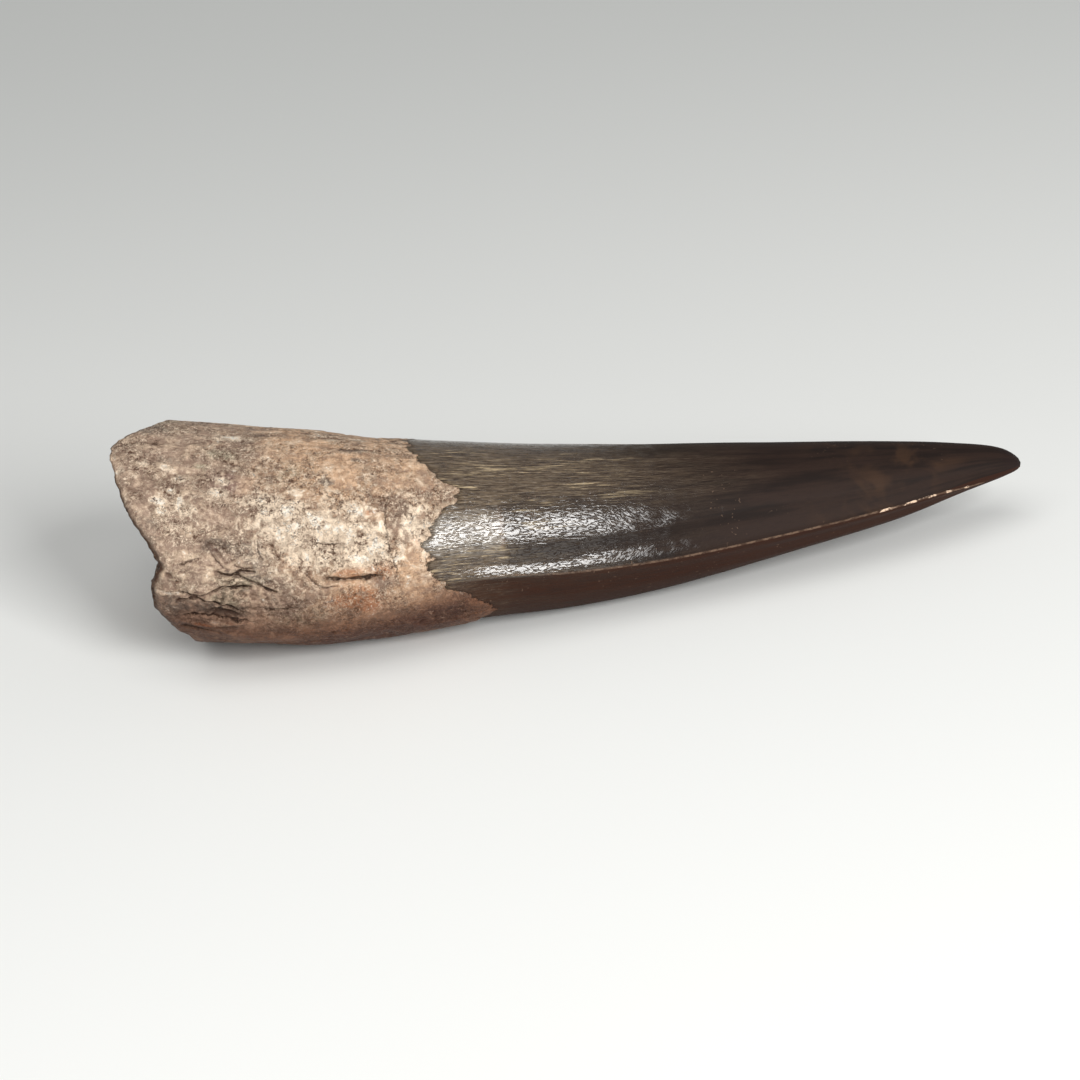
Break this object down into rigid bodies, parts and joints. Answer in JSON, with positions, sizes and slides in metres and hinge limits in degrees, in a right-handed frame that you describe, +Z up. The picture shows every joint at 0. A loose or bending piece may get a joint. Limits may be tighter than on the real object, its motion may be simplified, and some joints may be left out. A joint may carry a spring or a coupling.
{
  "type": "fossil dinosaur tooth",
  "caption": "Fossil spinosaur tooth lying on its side: a stout, weathered, broken root and a long, dark, gently bowed crown with a fine cutting edge along each side.",
  "frame": {"origin": "middle of the bounding box at the surface that the tooth lies on", "axes": "+X runs from the broken root to the tip, +Z is up, and the two cutting edges face -Y and +Y"},
  "size_m": [0.0958, 0.0276, 0.0242],
  "materials": {
    "fossil_tooth": "satin"
  },
  "bodies": {
    "root": {"tooth": "fossil_tooth"}
  },
  "joints": []
}
